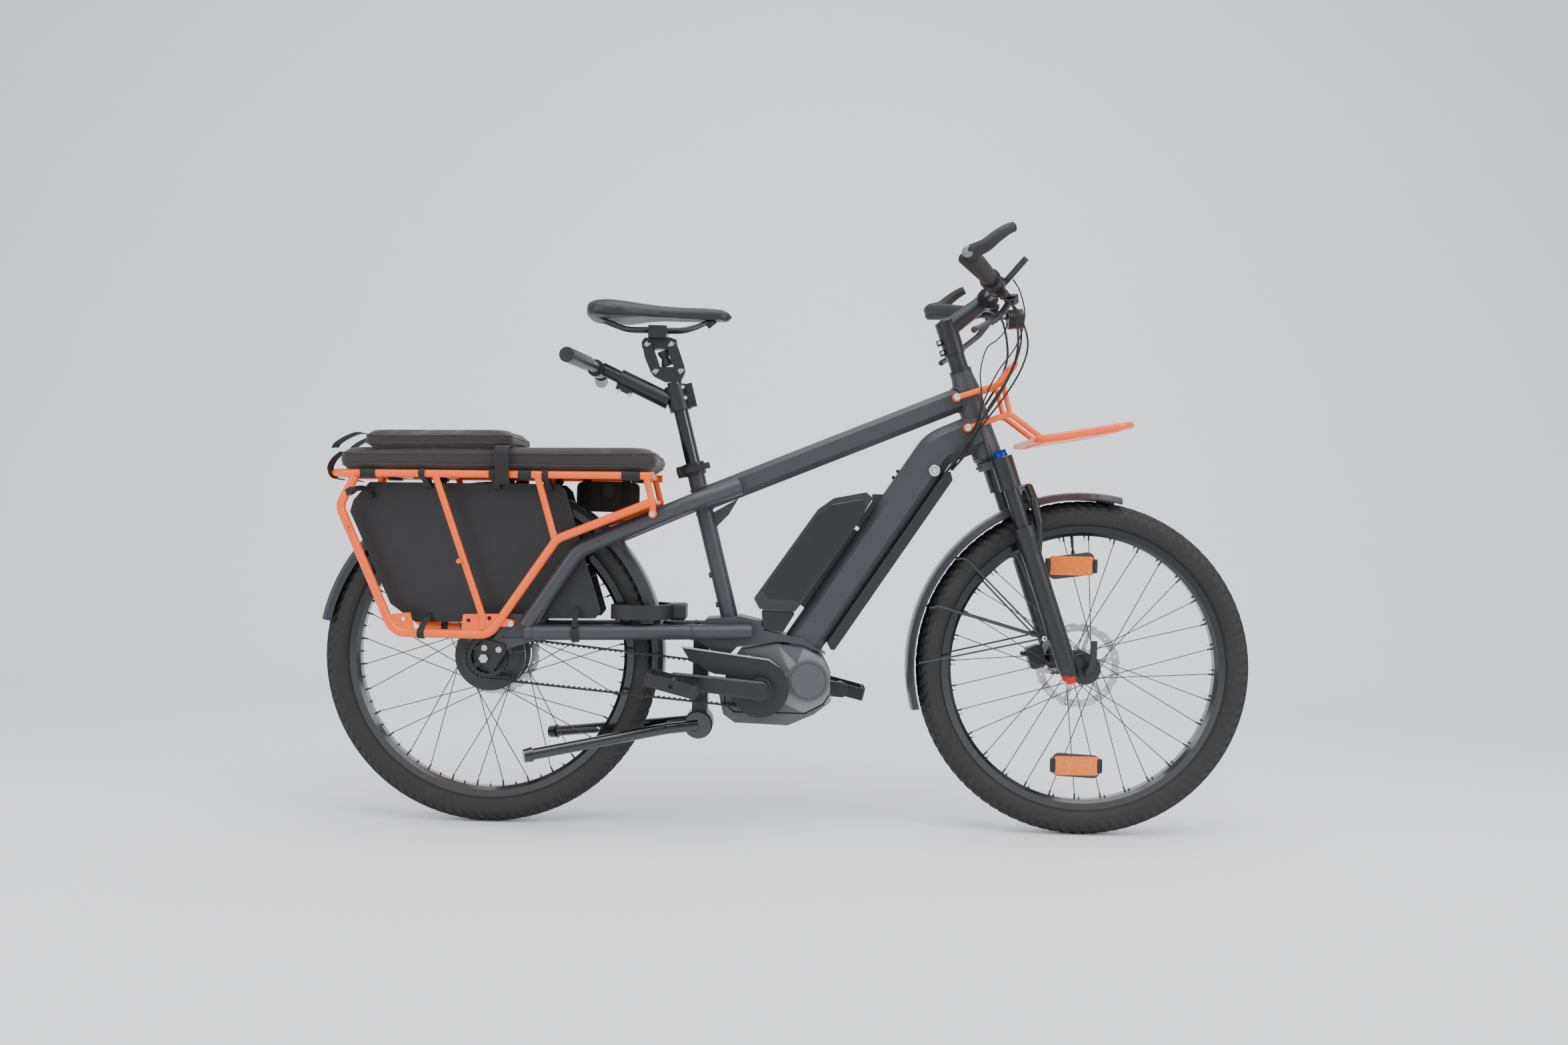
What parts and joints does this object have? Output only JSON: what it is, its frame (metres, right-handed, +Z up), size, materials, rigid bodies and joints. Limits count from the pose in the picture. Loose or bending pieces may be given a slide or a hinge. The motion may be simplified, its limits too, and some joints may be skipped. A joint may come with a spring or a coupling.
{
  "type": "electric cargo bicycle",
  "caption": "Long-tail electric cargo bicycle with mid motor, belt drive, suspension fork, padded rear rack, passenger handlebar and small front carrier.",
  "frame": {"origin": "on the floor, midway along the overall length, in the bicycle's middle plane", "axes": "+X forward, +Y to the rider's left (away from the belt side), +Z up"},
  "size_m": [1.9463, 0.709, 1.2305],
  "materials": {
    "frame_paint": "matte",
    "black_satin": "satin",
    "black_gloss": "gloss",
    "steel_black": "satin",
    "steel": "satin",
    "silver": "satin",
    "orange": "gloss",
    "black_plastic": "matte",
    "grey_plastic": "matte",
    "guard_plastic": "gloss",
    "battery_plastic": "satin",
    "tyre": "matte",
    "rubber": "matte",
    "vinyl": "satin",
    "pad_fabric": "matte",
    "webbing": "matte",
    "stanchion": "polished",
    "lens": "gloss"
  },
  "bodies": {
    "frame": {"main_frame": "frame_paint", "rear_triangle": "frame_paint", "dropout_plates": "black_satin", "frame_hardware": "black_satin", "downtube_cover": "black_plastic", "motor_housing": "grey_plastic", "motor_covers": "grey_plastic", "belt_guard": "black_plastic", "drive_belt": "rubber", "rear_rack": "orange", "spoke_guards": "black_plastic", "webbing_straps": "webbing", "seat_pad_long": "pad_fabric", "seat_pad_upper": "pad_fabric", "rear_mudguard": "guard_plastic", "ring_lock_case": "black_plastic", "front_carrier": "orange", "rear_brake_caliper": "black_satin"},
    "fork": {"fork_crown": "black_satin", "stem": "black_satin", "handlebar": "black_satin", "grips": "rubber", "control_mounts": "black_plastic", "control_cables": "rubber"},
    "lowers": {"fork_lowers": "black_satin", "front_mudguard": "guard_plastic", "front_brake_caliper": "black_satin"},
    "front_wheel": {"front_tyre": "tyre", "front_rim": "black_gloss", "front_spokes": "steel_black", "front_hub": "black_satin", "front_rotor": "steel"},
    "rear_wheel": {"rear_tyre": "tyre", "rear_rim": "black_gloss", "rear_spokes": "steel_black", "rear_hub": "black_satin", "rear_rotor": "steel"},
    "seatpost": {"seatpost_tube": "black_gloss", "stoker_stem": "black_satin", "elastomer": "rubber"},
    "stoker": {"stoker_bar": "black_satin"},
    "front_link": {"front_link": "black_satin"},
    "rear_link": {"rear_link": "black_satin"},
    "seat": {"seat_head": "black_satin", "saddle": "vinyl"},
    "cranks": {"cranks": "black_satin"},
    "front_sprocket": {"front_sprocket": "steel"},
    "rear_sprocket": {"rear_sprocket": "steel"},
    "right_pedal": {"right_pedal": "black_plastic"},
    "left_pedal": {"left_pedal": "black_plastic"},
    "kickstand": {"kickstand_legs": "black_gloss"},
    "battery": {"battery_pack": "battery_plastic"},
    "shackle": {"lock_shackle": "steel"},
    "seat_lever": {"seat_clamp_lever": "black_satin"},
    "axle_lever": {"axle_lever": "black_satin"},
    "lockout_knob": {"lockout_knob": "black_satin"},
    "headlight": {"headlight": "black_satin"},
    "right_lever": {"right_brake_lever": "black_satin"},
    "left_lever": {"left_brake_lever": "black_satin"},
    "shifter": {"twist_shifter": "rubber"}
  },
  "joints": [
    {"name": "steering", "type": "hinge", "parent": "frame", "child": "fork", "pos_m": [0.57134, 0, 0.35], "axis": [-0.3223, 0, 0.9466], "range_deg": [-60, 60], "deforming": ["control_cables"]},
    {"name": "fork_travel", "type": "slide", "parent": "fork", "child": "lowers", "axis": [-0.3223, 0, 0.9466], "range_m": [0, 0.07], "stiffness_N_per_m": 8000, "springref_m": -0.03},
    {"name": "front_wheel_spin", "type": "hinge", "parent": "lowers", "child": "front_wheel", "pos_m": [0.6305, 0, 0.35], "axis": [0, 1, 0], "continuous": true},
    {"name": "axle_lever_turn", "type": "hinge", "parent": "lowers", "child": "axle_lever", "pos_m": [0.6305, -0.079, 0.35], "axis": [0, -1, 0], "range_deg": [-150, 150]},
    {"name": "lockout_turn", "type": "hinge", "parent": "fork", "child": "lockout_knob", "pos_m": [0.44018, -0.065, 0.78494], "axis": [-0.3223, 0, 0.9466], "range_deg": [0, 90]},
    {"name": "right_brake", "type": "hinge", "parent": "fork", "child": "right_lever", "pos_m": [0.44, -0.128, 1.094], "axis": [-0.85, 0.5236, 0.0573], "range_deg": [0, 20], "stiffness_Nm_per_rad": 1.5},
    {"name": "left_brake", "type": "hinge", "parent": "fork", "child": "left_lever", "pos_m": [0.44, 0.128, 1.094], "axis": [0.85, 0.5236, -0.0573], "range_deg": [0, 20], "stiffness_Nm_per_rad": 1.5},
    {"name": "gear_twist", "type": "hinge", "parent": "fork", "child": "shifter", "pos_m": [0.40138, -0.17653, 1.11989], "axis": [-0.418, -0.8925, 0.1693], "range_deg": [-90, 90]},
    {"name": "headlight_tilt", "type": "hinge", "parent": "fork", "child": "headlight", "pos_m": [0.449, 0, 1.086], "axis": [0, 1, 0], "range_deg": [-15, 15]},
    {"name": "rear_wheel_spin", "type": "hinge", "parent": "frame", "child": "rear_wheel", "pos_m": [-0.6095, 0, 0.35], "axis": [0, 1, 0], "continuous": true},
    {"name": "crank_spin", "type": "hinge", "parent": "frame", "child": "cranks", "pos_m": [-0.045, 0, 0.297], "axis": [0, 1, 0], "continuous": true},
    {"name": "right_pedal_spin", "type": "hinge", "parent": "cranks", "child": "right_pedal", "pos_m": [-0.21916, -0.147, 0.31408], "axis": [0, 1, 0], "continuous": true},
    {"name": "left_pedal_spin", "type": "hinge", "parent": "cranks", "child": "left_pedal", "pos_m": [0.12917, 0.147, 0.27992], "axis": [0, 1, 0], "continuous": true},
    {"name": "front_sprocket_spin", "type": "hinge", "parent": "frame", "child": "front_sprocket", "pos_m": [-0.045, 0, 0.297], "axis": [0, 1, 0], "continuous": true},
    {"name": "rear_sprocket_spin", "type": "hinge", "parent": "frame", "child": "rear_sprocket", "pos_m": [-0.6095, 0, 0.35], "axis": [0, 1, 0], "continuous": true},
    {"name": "seatpost_height", "type": "slide", "parent": "frame", "child": "seatpost", "axis": [-0.2521, 0, 0.9677], "range_m": [-0.06, 0.06]},
    {"name": "stoker_reach", "type": "slide", "parent": "seatpost", "child": "stoker", "axis": [-0.908, 0, 0.4191], "range_m": [0, 0.04]},
    {"name": "front_link_turn", "type": "hinge", "parent": "seatpost", "child": "front_link", "pos_m": [-0.228, 0, 0.954], "axis": [0, -1, 0], "range_deg": [0, 25], "stiffness_Nm_per_rad": 60, "springref_deg": -171.89, "deforming": ["elastomer"]},
    {"name": "rear_link_turn", "type": "hinge", "parent": "seatpost", "child": "rear_link", "pos_m": [-0.28, 0, 0.952], "axis": [0, -1, 0], "range_deg": [0, 25]},
    {"name": "seat_head_turn", "type": "hinge", "parent": "front_link", "child": "seat", "pos_m": [-0.247, 0, 1.0084], "axis": [0, -1, 0], "range_deg": [-25, 0]},
    {"name": "kickstand_fold", "type": "hinge", "parent": "frame", "child": "kickstand", "pos_m": [-0.173, 0, 0.216], "axis": [0, -1, 0], "range_deg": [0, 120]},
    {"name": "battery_tilt", "type": "hinge", "parent": "frame", "child": "battery", "pos_m": [-0.048, 0, 0.459], "axis": [0, -1, 0], "range_deg": [0, 12]},
    {"name": "lock_turn", "type": "hinge", "parent": "frame", "child": "shackle", "pos_m": [-0.3, 0, 0.449], "axis": [0, 0, 1], "range_deg": [0, 102]},
    {"name": "seat_lever_turn", "type": "hinge", "parent": "frame", "child": "seat_lever", "pos_m": [-0.22418, -0.0163, 0.74134], "axis": [0.2521, 0, -0.9677], "range_deg": [0, 95]}
  ],
  "couplings": [
    {"joint": "front_sprocket_spin", "follows": "crank_spin", "ratio": 2.5},
    {"joint": "rear_sprocket_spin", "follows": "crank_spin", "ratio": 2.3077},
    {"joint": "rear_link_turn", "follows": "front_link_turn", "ratio": 1},
    {"joint": "seat_head_turn", "follows": "front_link_turn", "ratio": -1}
  ]
}
